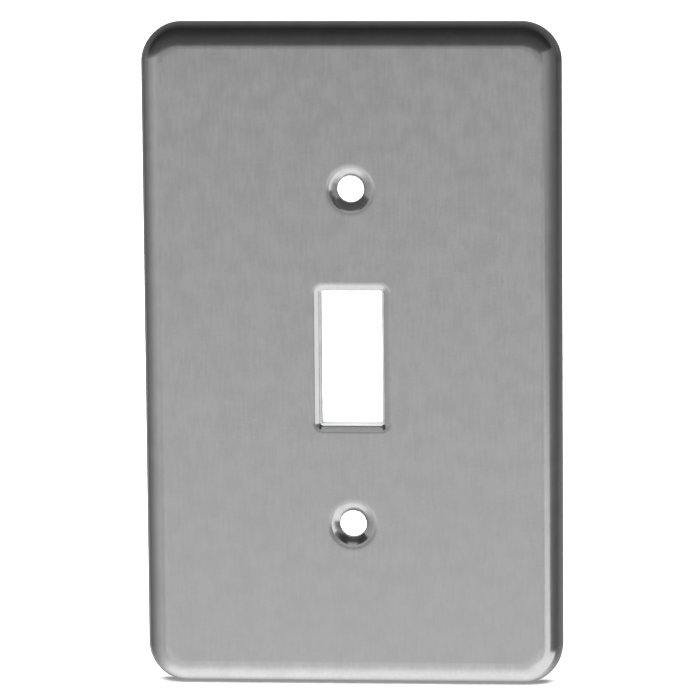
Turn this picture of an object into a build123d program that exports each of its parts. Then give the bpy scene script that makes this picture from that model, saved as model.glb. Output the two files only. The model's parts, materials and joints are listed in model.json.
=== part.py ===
"""Single-gang cover plate for a toggle switch: one steel pressing.

A blank of sheet steel is drawn into a shallow tray whose face rolls over into
a short skirt. The face slopes down round the toggle opening and turns in as a
collar, and the two screw holes are dimpled to seat oval-head screws.

Frame, in millimetres: the skirt's trimmed edge lies on the wall, in the plane
y = 0, and the face looks along -Y. +Z is up the long side and +X is across.
The origin is midway between the screw holes, on the wall plane.
"""

import os
from math import radians, tan

from build123d import *

# The tray
plate_width = 74.6  # 2 15/16 in
plate_height = 119.1  # 4 11/16 in
plate_depth = 6.35  # wall plane to the front of the face, 1/4 in
corner_radius = 7.1  # of the outline
rim_roll = 4.4  # from the face into the skirt, measured outside
sheet = 0.9  # 20 gauge steel

# The toggle opening
toggle_width = 10.75  # clear width inside the collar
toggle_height = 23.8  # 15/16 in
toggle_corner = 0.3
collar_depth = 2.5  # from the face to the collar's cut end
collar_roll = 1.05  # of its two bends, measured outside
lip_width = 1.4  # of the slope between the face and the collar
lip_slope = 30  # degrees from the face

# The screw holes, for 6-32 oval-head screws
screw_spacing = 60.33  # 2 3/8 in, the same on every toggle switch
hole_radius = 2.38  # 3/16 in, for a 6-32 screw
dimple_radius = 4.5  # where the face starts to dip
dimple_slope = 35  # degrees from the face
dimple_roll = 1.6  # from the face into the dimple, measured outside

hair = 0.001
wall_plane = Plane.XZ
face_plane = Plane.XZ.offset(plate_depth)
screw_heights = [screw_spacing / 2, -screw_spacing / 2]


def lip_reach(inside):
    """How far the lip's slope reaches out from the collar, on the surface that far inside the sheet."""
    return lip_width - inside + inside * tan(radians(lip_slope / 2))


def lip_mouth(inside):
    """The outline where the face would meet the lip's slope, on the surface that far inside the sheet."""
    reach = inside + lip_reach(inside)
    return RectangleRounded(
        toggle_width + 2 * reach, toggle_height + 2 * reach, toggle_corner + reach
    )


def lip_drop(inside):
    """How deep the lip's slope goes, on the surface that far inside the sheet."""
    return lip_reach(inside) * tan(radians(lip_slope))


def in_lip(edge, depth):
    """True for an edge of the toggle opening's lip that lies that deep behind the face."""
    box = edge.bounding_box()
    near = box.max.X < toggle_width and box.max.Z < toggle_height
    level = abs(box.min.Y + plate_depth - depth) + abs(box.max.Y + plate_depth - depth) < hair
    return near and level


def slope_end(roll):
    """Where the slope that leaves a dimple's roll meets the edge of the screw hole."""
    start = roll @ 1
    return (hole_radius, start.Y + (start.X - hole_radius) * tan(radians(dimple_slope)))


# One dimple, about the Y axis with the face at y = 0. In its section, x is the
# distance from the hole's axis and y is the depth behind the face.
section_plane = Plane(origin=(0, 0, 0), x_dir=(0, 0, 1), z_dir=(-1, 0, 0))
with BuildPart() as dimple:
    with BuildSketch(section_plane):
        with BuildLine():
            front = CenterArc((dimple_radius, dimple_roll), dimple_roll, -90, -dimple_slope)
            back = CenterArc((dimple_radius, dimple_roll), dimple_roll - sheet, -90, -dimple_slope)
            Polyline(front @ 1, slope_end(front), slope_end(back), back @ 1)
            Line(back @ 0, front @ 0)
        make_face()
    revolve(axis=Axis.Y)

with BuildPart() as cover_plate:
    # The drawn tray: a block with its front edge rolled, shelled from the wall side
    with BuildSketch(wall_plane):
        RectangleRounded(plate_width, plate_height, corner_radius)
    extrude(amount=plate_depth)
    fillet(faces().sort_by(Axis.Y)[0].edges(), radius=rim_roll)
    offset(amount=-sheet, openings=faces().sort_by(Axis.Y)[-1])

    # The toggle opening: the face slopes down to a collar
    with BuildSketch(face_plane.offset(-sheet)):
        lip_mouth(sheet)
    extrude(amount=-lip_drop(sheet), taper=90 - lip_slope)
    with BuildSketch(face_plane):
        RectangleRounded(
            toggle_width + 2 * sheet, toggle_height + 2 * sheet, toggle_corner + sheet
        )
    extrude(amount=-collar_depth)
    with BuildSketch(face_plane):
        lip_mouth(0)
    extrude(amount=-lip_drop(0), taper=90 - lip_slope, mode=Mode.SUBTRACT)
    with BuildSketch(face_plane):
        RectangleRounded(toggle_width, toggle_height, toggle_corner)
    extrude(amount=-collar_depth, mode=Mode.SUBTRACT)
    for inside in (0, sheet):
        for depth in (inside, inside + lip_drop(inside)):
            bend = edges().filter_by(lambda edge: in_lip(edge, depth))
            fillet(bend, radius=collar_roll - inside)

    # The dimpled screw holes
    with BuildSketch(face_plane):
        with Locations([(0, height) for height in screw_heights]):
            Circle(dimple_radius)
    extrude(amount=-sheet, mode=Mode.SUBTRACT)
    with Locations([(0, -plate_depth, height) for height in screw_heights]):
        add(dimple.part)

cover_plate.part.label = "cover_plate"

os.makedirs("parts", exist_ok=True)
export_step(cover_plate.part, "parts/cover_plate.step")
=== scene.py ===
"""A toggle switch cover plate, pressed from sheet steel, standing on a pale studio floor."""

import json
import math

import bmesh
import bpy
from mathutils import Matrix, Vector


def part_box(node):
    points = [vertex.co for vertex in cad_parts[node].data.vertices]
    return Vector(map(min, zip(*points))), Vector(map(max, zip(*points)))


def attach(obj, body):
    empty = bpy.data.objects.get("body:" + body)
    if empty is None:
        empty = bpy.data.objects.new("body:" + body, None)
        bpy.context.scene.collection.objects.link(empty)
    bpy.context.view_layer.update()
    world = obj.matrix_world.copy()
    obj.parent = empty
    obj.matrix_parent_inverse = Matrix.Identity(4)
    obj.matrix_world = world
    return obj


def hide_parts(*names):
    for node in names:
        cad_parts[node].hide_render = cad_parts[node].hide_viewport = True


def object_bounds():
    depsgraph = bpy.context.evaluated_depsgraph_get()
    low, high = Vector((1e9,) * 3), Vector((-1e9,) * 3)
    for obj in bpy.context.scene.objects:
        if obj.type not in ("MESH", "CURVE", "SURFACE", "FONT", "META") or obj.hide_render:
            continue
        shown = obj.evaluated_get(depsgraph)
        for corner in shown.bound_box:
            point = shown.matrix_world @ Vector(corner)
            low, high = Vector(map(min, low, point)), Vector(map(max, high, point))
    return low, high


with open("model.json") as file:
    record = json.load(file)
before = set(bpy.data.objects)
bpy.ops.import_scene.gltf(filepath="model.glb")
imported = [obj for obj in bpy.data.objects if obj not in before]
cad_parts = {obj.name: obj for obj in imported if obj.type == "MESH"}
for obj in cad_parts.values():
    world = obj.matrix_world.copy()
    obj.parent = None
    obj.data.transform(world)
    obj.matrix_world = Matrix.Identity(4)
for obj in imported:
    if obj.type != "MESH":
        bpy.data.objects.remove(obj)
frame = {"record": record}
cad_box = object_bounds()


# ---------------------------------------------------------------- the pressing
# The whole object: one 0.9 mm sheet of steel, drawn into a tray with a rolled edge, turned in round the
# toggle opening as a collar and dimpled at its two screw holes. It is plated in bright zinc, and two 6-32
# screws hold it to a switch. It is worked in millimetres, and brought to metres when it is whole.

to_metres = 0.001
plate_low, plate_high = (corner / to_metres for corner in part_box("cover_plate"))
plate_width, _, plate_height = plate_high - plate_low
face_y = plate_low.y
wall_y = plate_high.y
sheet = 0.9
corner_radius = 7.1
rim_roll = 4.4

toggle_width = 10.75
toggle_height = 23.8
toggle_corner = 0.3
collar_depth = 2.5
collar_roll = 1.05
lip_width = 1.4
lip_slope = math.radians(30)

screw_mount = next(m for m in frame["record"]["mounts"] if m["kind"] == "bolt_pattern")
hole_radius = screw_mount["dims"]["hole_r_mm"]
screw_height = screw_mount["dims"]["spacing_y_mm"] / 2
dimple_radius = 4.5
dimple_roll = 1.6
dimple_slope = math.radians(35)

margin = 0.5  # flat sheet left round the collar and the dimples, which the face is filled up to
roll_steps = 20  # facets round each of the tray's rolls and corners
burnish_depth = 0.6  # behind the face, by where a roll has been burnished by the die
lines_share = 0.4  # of the drawn lines in a finish, against its mottle
noise_low, noise_high = 0.38, 0.62  # the middle range, which the two mixed noises rarely leave
throat_start = math.radians(40)  # the slope at which the bend into the collar turns dull
facing_out = math.radians(90)  # turns a flat primitive so that it faces -Y
hair = 0.001


def linear(hex_colour):
    """An sRGB hex colour as the linear values that a shader takes."""
    channels = [int(hex_colour[i : i + 2], 16) / 255 for i in (1, 3, 5)]
    return [c / 12.92 if c <= 0.04045 else ((c + 0.055) / 1.055) ** 2.4 for c in channels] + [1]


def node(tree, kind, settings=None, sockets=None):
    """Adds a node, sets its properties, and sets or links its sockets, each by name or number."""
    made = tree.nodes.new(kind)
    for name, value in (settings or {}).items():
        setattr(made, name, value)
    for socket, value in (sockets or {}).items():
        if isinstance(value, bpy.types.NodeSocket):
            tree.links.new(value, made.inputs[socket])
        else:
            made.inputs[socket].default_value = value
    return made


def curve(tree, value, points):
    """The height, at that value, of the line through these (value, height) points."""
    low = points[0][0]
    high = points[-1][0]
    peak = max(height for _, height in points)
    along = node(tree, "ShaderNodeMapRange", {}, {"Value": value, "From Min": low, "From Max": high})
    ramp = node(tree, "ShaderNodeValToRGB", {}, {"Fac": along.outputs["Result"]})
    stops = ramp.color_ramp.elements
    stops.remove(stops[1])
    for place, height in points:
        stop = stops[0] if place == low else stops.new((place - low) / (high - low))
        stop.color = [height / peak] * 3 + [1]
    scaled = node(tree, "ShaderNodeMath", {"operation": "MULTIPLY"}, {0: ramp.outputs["Color"], 1: peak})
    return scaled.outputs["Value"]


def plated(name, colours, metallic, roughness, burnish, mottle, lines, pits, pit_height):
    """A metal finish. Its two colours and two roughnesses mix by its mottle and lines, each grain an x, y, z
    size in millimetres, and burnish scales its roughness where the sheet has been drawn over the die."""
    material = bpy.data.materials.new(name)
    material.use_nodes = True
    tree = material.node_tree
    tree.nodes.clear()
    place = node(tree, "ShaderNodeTexCoord").outputs["Object"]
    noises = []
    for grain in (mottle, lines, pits):
        squeeze = [1 / (length * to_metres) for length in grain]
        pulled = node(tree, "ShaderNodeMapping", {}, {"Vector": place, "Scale": squeeze})
        noise = node(tree, "ShaderNodeTexNoise", {}, {"Vector": pulled.outputs["Vector"], "Scale": 1.0})
        noises.append(noise.outputs["Fac"])
    both = node(tree, "ShaderNodeMix", {}, {"Factor": lines_share, "A": noises[0], "B": noises[1]})
    spread = {"Value": both.outputs["Result"], "From Min": noise_low, "From Max": noise_high}
    mixed = node(tree, "ShaderNodeMapRange", {}, spread).outputs["Result"]
    colour = node(
        tree,
        "ShaderNodeMix",
        {"data_type": "RGBA"},
        {"Factor": mixed, 6: linear(colours[0]), 7: linear(colours[1])},
    )
    depth = node(tree, "ShaderNodeSeparateXYZ", {}, {"Vector": place}).outputs["Y"]
    burnished = face_y + burnish_depth
    polish = curve(tree, depth, [(face_y * to_metres, 1.0), (burnished * to_metres, burnish)])
    ends = {"Value": mixed, "To Min": roughness[0], "To Max": roughness[1]}
    dulled = node(tree, "ShaderNodeMapRange", {}, ends).outputs["Result"]
    rough = node(tree, "ShaderNodeMath", {"operation": "MULTIPLY"}, {0: dulled, 1: polish})
    bump = node(tree, "ShaderNodeBump", {}, {"Height": noises[2], "Distance": pit_height * to_metres})
    metal = node(
        tree,
        "ShaderNodeBsdfPrincipled",
        {},
        {
            "Base Color": colour.outputs[2],
            "Metallic": metallic,
            "Roughness": rough.outputs["Value"],
            "Normal": bump.outputs["Normal"],
        },
    )
    node(tree, "ShaderNodeOutputMaterial", {}, {"Surface": metal.outputs["BSDF"]})
    return material


# The show side: an even light grey. Its mottle and lines are drawn far coarser than real plate's, to show
satin_zinc = plated(
    "satin_zinc_plate",
    colours=("#b8b8b8", "#bfbfbf"),
    metallic=1.0,
    roughness=(0.2, 0.24),
    burnish=0.72,
    mottle=(3.5, 3.5, 3.5),
    lines=(0.5, 0.5, 3.0),
    pits=(0.45, 0.45, 0.45),
    pit_height=0.005,
)
# The wall side and inside the collar, where less of the plate reaches: a dull film, which scatters light
# more than it mirrors the room
dull_zinc = plated(
    "dull_zinc_plate",
    colours=("#a3a4a4", "#b3b4b4"),
    metallic=0.35,
    roughness=(0.5, 0.64),
    burnish=1.0,
    mottle=(5.0, 5.0, 5.0),
    lines=(0.6, 0.6, 20.0),
    pits=(0.5, 0.5, 0.5),
    pit_height=0.015,
)
# The cut edges: torn through the thickness by the shear, so the lines run from face to back
sheared_steel = plated(
    "sheared_steel",
    colours=("#8a8a89", "#a9a9a8"),
    metallic=0.7,
    roughness=(0.45, 0.6),
    burnish=1.0,
    mottle=(3.0, 3.0, 3.0),
    lines=(0.3, 3.0, 0.3),
    pits=(0.3, 0.3, 0.3),
    pit_height=0.015,
)
finishes = (satin_zinc, dull_zinc, sheared_steel)
show_slot, wall_slot, cut_slot = range(len(finishes))


def new_piece(name):
    """Names the primitive just added and opens it in edit mode."""
    piece = bpy.context.object
    piece.name = piece.data.name = name
    bpy.ops.object.transform_apply(location=True, rotation=True, scale=True)
    bpy.ops.object.mode_set(mode="EDIT")
    return piece


def pick(piece, kind, wanted):
    """Selects only those edges or faces of the piece for which wanted(element) is true."""
    bpy.ops.mesh.select_mode(type=kind)
    bpy.ops.mesh.select_all(action="DESELECT")
    mesh = bmesh.from_edit_mesh(piece.data)
    for element in mesh.edges if kind == "EDGE" else mesh.faces:
        element.select_set(wanted(element))
    mesh.select_flush_mode()
    bmesh.update_edit_mesh(piece.data)


def at_depth(y):
    """True for an edge or face that lies wholly in the plane at that depth."""
    return lambda element: all(abs(vert.co.y - y) < hair for vert in element.verts)


def at_bend(y):
    """True for an edge in the plane at that depth, where the surface turns out of the plane."""
    there = at_depth(y)
    return lambda edge: there(edge) and not all(there(face) for face in edge.link_faces)


def tray(inside):
    """The tray's surface that lies that far inside the sheet, open at the face and at the wall."""
    front = face_y + inside
    bpy.ops.mesh.primitive_cube_add(
        size=1,
        location=(0, (front + wall_y) / 2, 0),
        scale=(plate_width - 2 * inside, wall_y - front, plate_height - 2 * inside),
    )
    piece = new_piece("tray")
    pick(piece, "FACE", at_depth(wall_y))
    bpy.ops.mesh.delete(type="ONLY_FACE")
    pick(piece, "EDGE", lambda e: abs(e.verts[0].co.y - e.verts[1].co.y) > hair)
    bpy.ops.mesh.bevel(offset=corner_radius - inside, segments=roll_steps, clamp_overlap=False)
    pick(piece, "EDGE", at_depth(front))
    bpy.ops.mesh.bevel(offset=rim_roll - inside, segments=roll_steps, clamp_overlap=False)
    pick(piece, "FACE", at_depth(front))
    bpy.ops.mesh.delete(type="ONLY_FACE")
    bpy.ops.object.mode_set(mode="OBJECT")
    return piece


def collar(inside):
    """The toggle opening's sloped lip and collar, with a margin of flat sheet round them."""
    front = face_y + inside
    clear_width = toggle_width + 2 * inside
    clear_height = toggle_height + 2 * inside
    lip = lip_width - inside + inside * math.tan(lip_slope / 2)
    drop = lip * math.tan(lip_slope)
    reach = lip + margin
    bpy.ops.mesh.primitive_plane_add(size=1, location=(0, front, 0), rotation=(facing_out, 0, 0))
    bpy.context.object.scale = (clear_width + 2 * reach, clear_height + 2 * reach, 1)
    piece = new_piece("collar")
    bpy.ops.mesh.select_all(action="SELECT")
    bpy.ops.mesh.bevel(offset=toggle_corner + inside + reach, segments=10, affect="VERTICES")
    bpy.ops.mesh.select_all(action="SELECT")
    bpy.ops.mesh.inset(thickness=margin)
    bpy.ops.mesh.inset(thickness=lip, depth=-drop)
    wall = {"value": (0, collar_depth - inside - drop, 0)}
    bpy.ops.mesh.extrude_region_move(TRANSFORM_OT_translate=wall)
    bpy.ops.mesh.delete(type="ONLY_FACE")

    for depth, turn in ((0, lip_slope), (drop, math.pi / 2 - lip_slope)):
        pick(piece, "EDGE", at_bend(front + depth))
        setback = (collar_roll - inside) * math.tan(turn / 2)
        bpy.ops.mesh.bevel(offset=setback, segments=6, clamp_overlap=False)
    bpy.ops.object.mode_set(mode="OBJECT")
    return piece


def dimple(inside, height):
    """One dimple about its screw hole, with its roll and a margin of flat sheet round it."""
    front = face_y + inside
    roll = dimple_roll - inside
    setback = roll * math.tan(dimple_slope / 2)  # from the roll's start to where face and slope would meet
    mouth = dimple_radius - setback
    depth = (mouth - hole_radius) * math.tan(dimple_slope)
    bpy.ops.mesh.primitive_circle_add(
        vertices=96,
        radius=dimple_radius + margin,
        fill_type="NGON",
        location=(0, front, height),
        rotation=(facing_out, 0, 0),
    )
    piece = new_piece("dimple")
    bpy.ops.mesh.select_all(action="SELECT")
    bpy.ops.mesh.inset(thickness=setback + margin)
    slope = {"value": (0, depth, 0)}
    bpy.ops.mesh.extrude_region_move(TRANSFORM_OT_translate=slope)
    bpy.ops.transform.resize(
        value=(hole_radius / mouth, 1, hole_radius / mouth), center_override=(0, 0, height)
    )
    if inside == 0:
        back_mouth = dimple_radius - (roll - sheet) * math.tan(dimple_slope / 2)
        end = sheet + (back_mouth - hole_radius) * math.tan(dimple_slope)
        bpy.ops.mesh.extrude_region_move(TRANSFORM_OT_translate={"value": (0, end - depth, 0)})
    bpy.ops.mesh.delete(type="ONLY_FACE")
    pick(piece, "EDGE", at_bend(front))
    bpy.ops.mesh.bevel(offset=setback, segments=8, clamp_overlap=False)
    bpy.ops.object.mode_set(mode="OBJECT")
    return piece


def surface(inside):
    """One whole surface of the sheet: the tray, the collar and the dimples, and the flat between them."""
    bpy.ops.object.select_all(action="DESELECT")
    parts = [tray(inside), collar(inside)]
    parts += [dimple(inside, side * screw_height) for side in (1, -1)]
    for part in parts:
        part.select_set(True)
    bpy.context.view_layer.objects.active = parts[0]
    bpy.ops.object.join()
    piece = bpy.context.object
    bpy.ops.object.mode_set(mode="EDIT")
    flat = at_depth(face_y + inside)
    pick(piece, "EDGE", lambda edge: edge.is_boundary and flat(edge))
    bpy.ops.mesh.fill(use_beauty=True)
    bpy.ops.object.mode_set(mode="OBJECT")
    return piece


bpy.ops.object.select_all(action="DESELECT")
show_side = surface(0)
wall_side = surface(sheet)
for side, slot in ((show_side, show_slot), (wall_side, wall_slot)):
    for finish in finishes:
        side.data.materials.append(finish)
    side.data.polygons.foreach_set("material_index", [slot] * len(side.data.polygons))
bpy.ops.object.select_all(action="DESELECT")
show_side.select_set(True)
wall_side.select_set(True)
bpy.context.view_layer.objects.active = show_side
bpy.ops.object.join()
plate = bpy.context.object
plate.name = plate.data.name = "pressed_plate"

bpy.ops.object.mode_set(mode="EDIT")
bpy.ops.mesh.select_all(action="SELECT")
bpy.ops.mesh.remove_doubles(threshold=hair * 2)
for cut_y in (wall_y, face_y + collar_depth):
    pick(plate, "EDGE", lambda edge: edge.is_boundary and at_depth(cut_y)(edge))
    bpy.ops.mesh.fill(use_beauty=True)
    bpy.ops.mesh.tris_convert_to_quads(face_threshold=math.pi, shape_threshold=math.pi)
bpy.ops.mesh.select_all(action="SELECT")
bpy.ops.mesh.normals_make_consistent(inside=False)


def is_cut(face):
    """True for the skirt's and the collar's cut ends, and for the walls of the screw holes."""
    centre = face.calc_center_median()
    ends = at_depth(wall_y)(face) or at_depth(face_y + collar_depth)(face)
    from_hole = min(math.hypot(centre.x, centre.z - side * screw_height) for side in (1, -1))
    return ends or (from_hole < hole_radius + hair and abs(face.normal.y) < hair)


def in_throat(face):
    """True for the collar's wall, and for all but the start of the bend into it."""
    centre = face.calc_center_median()
    beside = abs(centre.x) < toggle_width / 2 + collar_roll
    level = abs(centre.z) < toggle_height / 2 + collar_roll
    return beside and level and abs(face.normal.y) < math.cos(throat_start)


for wanted, slot in ((in_throat, wall_slot), (is_cut, cut_slot)):
    pick(plate, "FACE", wanted)
    plate.active_material_index = slot
    bpy.ops.object.material_slot_assign()

# Every cut edge is tumbled smooth. The rolls turn only a few degrees at each step, so only cuts are
# sharper.
cut_angle = math.radians(30)
tumbled = 0.12
pick(plate, "EDGE", lambda edge: edge.calc_face_angle() > cut_angle)
bpy.ops.mesh.bevel(offset=tumbled, segments=3, clamp_overlap=False)
bpy.ops.object.mode_set(mode="OBJECT")
plate.scale = (to_metres, to_metres, to_metres)
bpy.ops.object.transform_apply(location=True, rotation=True, scale=True)
bpy.ops.object.shade_smooth()
bpy.ops.object.modifier_add(type="WEIGHTED_NORMAL")
bpy.ops.object.modifier_apply(modifier="WeightedNormal")

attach(plate, "root")
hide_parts("cover_plate")


# ---------------------------------------------------------------- the studio
# A pale floor under a broad overhead light, in a room that is bright low down and
# dark above. Boards round the plate are there for its gloss alone: two dark flags over
# it, a grey card to its left, a white card and a low card to its right, and a scrim that hides the
# upper part of the white card from the right-hand roll.

bpy.ops.object.select_all(action="DESELECT")
floor_size = 10.0
bpy.ops.mesh.primitive_plane_add(size=floor_size, location=(0, 0, cad_box[0].z))
floor = bpy.context.object
floor.name = "floor"
bpy.ops.object.transform_apply(location=True, rotation=True, scale=True)
floor.visible_glossy = False
paper = bpy.data.materials.new("white_paper")
paper.use_nodes = True
tree = paper.node_tree
tree.nodes.clear()
matt = node(
    tree, "ShaderNodeBsdfPrincipled", {}, {"Base Color": linear("#f4f4f4"), "Roughness": 0.9}
)
node(tree, "ShaderNodeOutputMaterial", {}, {"Surface": matt.outputs["BSDF"]})
floor.data.materials.append(paper)

overhead_place = (0, -1.0, 2.5)
overhead_size = 3.0
overhead_watts = 280
bpy.ops.object.light_add(type="AREA", location=overhead_place)
overhead = bpy.context.object
overhead.name = "overhead"
overhead.data.shape = "SQUARE"
overhead.data.size = overhead_size
overhead.data.energy = overhead_watts
overhead.visible_glossy = False
overhead.visible_camera = False

# The room's light by the direction that it comes from
by_height = [
    (-1, 1.5),
    (-0.96, 1.48),
    (-0.86, 1.35),
    (-0.7, 1.1),
    (-0.49, 0.93),
    (-0.3, 0.98),
    (-0.235, 1.0),
    (-0.105, 0.46),
    (-0.05, 0.43),
    (0, 0.45),
    (0.3, 0.5),
    (0.5, 0.68),
    (1, 0.72),
]
by_depth = [
    (-1, 1),
    (0, 1),
    (0.24, 0.95),
    (0.5, 0.75),
    (0.77, 0.45),
    (1, 0.3),
]
by_side = [
    (-1, 1.1),
    (-0.1, 1),
    (0.3, 1),
    (0.55, 0.8),
    (0.75, 0.5),
    (1, 0.15),
]
world = bpy.data.worlds.new("studio")
bpy.context.scene.world = world
world.use_nodes = True
tree = world.node_tree
tree.nodes.clear()
away = node(tree, "ShaderNodeTexCoord").outputs["Generated"]
direction = node(tree, "ShaderNodeSeparateXYZ", {}, {"Vector": away}).outputs
light = 1.0
for axis, points in (("Z", by_height), ("Y", by_depth), ("X", by_side)):
    share = curve(tree, direction[axis], points)
    product = node(tree, "ShaderNodeMath", {"operation": "MULTIPLY"}, {0: share, 1: light})
    light = product.outputs["Value"]
room = node(tree, "ShaderNodeBackground", {}, {"Color": (1, 1, 1, 1), "Strength": light})
seen = node(tree, "ShaderNodeBackground", {}, {"Color": (1, 1, 1, 1), "Strength": 1.0})
rays = node(tree, "ShaderNodeLightPath")
both = node(
    tree,
    "ShaderNodeMixShader",
    {},
    {0: rays.outputs["Is Camera Ray"], 1: room.outputs["Background"], 2: seen.outputs["Background"]},
)
node(tree, "ShaderNodeOutputWorld", {}, {"Surface": both.outputs["Shader"]})


def board(name, corners, axis, glow, covers):
    """A board that only gloss sees. Its glow goes by place along one axis, its cover by place along each."""
    mesh = bpy.data.meshes.new(name)
    mesh.from_pydata(corners, [], [range(len(corners))])
    made = bpy.data.objects.new(name, mesh)
    bpy.context.collection.objects.link(made)
    for ray in ("camera", "diffuse", "transmission", "volume_scatter", "shadow"):
        setattr(made, "visible_" + ray, False)
    paint = bpy.data.materials.new(name)
    paint.use_nodes = True
    tree = paint.node_tree
    tree.nodes.clear()
    place = node(tree, "ShaderNodeTexCoord").outputs["Object"]
    place = node(tree, "ShaderNodeSeparateXYZ", {}, {"Vector": place}).outputs
    lamp = node(tree, "ShaderNodeEmission", {}, {"Strength": curve(tree, place[axis], glow)})
    clear = node(tree, "ShaderNodeBsdfTransparent")
    cover = 1.0
    for along, points in covers.items():
        share = curve(tree, place[along], points)
        product = node(tree, "ShaderNodeMath", {"operation": "MULTIPLY"}, {0: share, 1: cover})
        cover = product.outputs["Value"]
    mixed = node(
        tree,
        "ShaderNodeMixShader",
        {},
        {0: cover, 1: clear.outputs["BSDF"], 2: lamp.outputs["Emission"]},
    )
    node(tree, "ShaderNodeOutputMaterial", {}, {"Surface": mixed.outputs["Shader"]})
    mesh.materials.append(paint)


def level(outline, height):
    """The corners of a level board at that height, with that outline of (x, y) corners."""
    return [(x, y, height) for x, y in outline]


def upright(start, end, low, high):
    """The corners of an upright board that stands from start to end, each an (x, y)."""
    return [(*start, low), (*end, low), (*end, high), (*start, high)]


flag_height = 0.062
board(
    "dark_flag",
    level([(-0.25, -0.05), (0.25, -0.05), (0.25, 0.05), (-0.25, 0.05)], flag_height),
    "Y",
    [
        (-0.05, 0.26),
        (-0.03, 0.15),
        (-0.015, 0.11),
        (-0.01, 0.09),
        (-0.007, 0.05),
        (-0.004, 0.03),
        (0, 0.15),
        (0.05, 0.2),
    ],
    {"X": [(-0.25, 0), (-0.05, 1), (0.05, 1), (0.25, 0)], "Y": [(-0.05, 0), (-0.038, 1), (0.05, 1)]},
)
# The second flag is notched, so that the lip under the toggle opening still sees the room past it
high_flag_height = 0.1
high_flag = [
    (-0.26, -0.17),
    (-0.05, -0.17),
    (-0.05, -0.09),
    (0.03, -0.09),
    (0.03, -0.17),
    (0.26, -0.17),
    (0.26, -0.02),
    (-0.26, -0.02),
]
board(
    "high_flag",
    level(high_flag, high_flag_height),
    "Y",
    [(-0.17, 0.06), (-0.02, 0.06)],
    {"X": [(-0.26, 0), (-0.22, 1), (0.22, 1), (0.26, 0)], "Y": [(-0.17, 0), (-0.15, 1), (-0.02, 1)]},
)
board(
    "grey_card",
    upright((-0.4, -0.6), (-0.4, 0.3), -0.6, 0.1),
    "Y",
    [(-0.6, 0.62), (-0.3, 0.7), (-0.1, 0.52), (0, 0.36), (0.3, 0.12)],
    {"Z": [(-0.6, 0), (-0.15, 1), (0.1, 1)]},
)
board(
    "white_card",
    upright((0.12, -0.139), (0.161, -0.082), -0.2, 0.008),
    "Z",
    [(-0.2, 1.45), (0.008, 1.45)],
    {"Z": [(-0.2, 1), (0.008, 1)]},
)
# A bright card lies low on the right, and lights the upper left of each dimple and the plate's lower right
low_card_height = -0.2
board(
    "low_card",
    level([(0.04, -0.3), (0.45, -0.3), (0.45, 0.02), (0.04, 0.02)], low_card_height),
    "X",
    [(0.04, 1.45), (0.45, 1.45)],
    {"X": [(0.04, 0), (0.1, 1), (0.35, 1), (0.45, 0)], "Y": [(-0.3, 0), (-0.2, 1), (0.02, 1)]},
)
board(
    "side_scrim",
    upright((0.052, -0.032), (0.052, 0), -0.07, 0.07),
    "Y",
    [(-0.032, 0.5), (-0.02, 0.43), (-0.01, 0.25), (0, 0.15)],
    {"Z": [(-0.07, 0), (0.012, 1), (0.07, 1)]},
)

# A long lens, which looks from a little above and to the right
camera_side = math.radians(4.5)
camera_lift = math.radians(9.5)
camera_tilt = math.radians(0.5)
camera_distance = 1.1
view_width = 0.1247
aim = Vector((-0.0005, (cad_box[0].y + cad_box[1].y) / 2, 0.00095))
back = Vector(
    (
        math.sin(camera_side) * math.cos(camera_lift),
        -math.cos(camera_side) * math.cos(camera_lift),
        math.sin(camera_lift),
    )
)
bpy.ops.object.camera_add(location=aim + back * camera_distance)
camera = bpy.context.object
roll = Matrix.Rotation(-camera_tilt, 3, "Z").to_quaternion()
camera.rotation_mode = "QUATERNION"
camera.rotation_quaternion = back.to_track_quat("Z", "Y") @ roll
camera.data.sensor_width = 36
camera.data.lens = camera.data.sensor_width * camera_distance / view_width
camera.data.clip_start = 0.05
camera.data.clip_end = 20
bpy.context.scene.camera = camera
bpy.context.scene.view_settings.view_transform = "Standard"
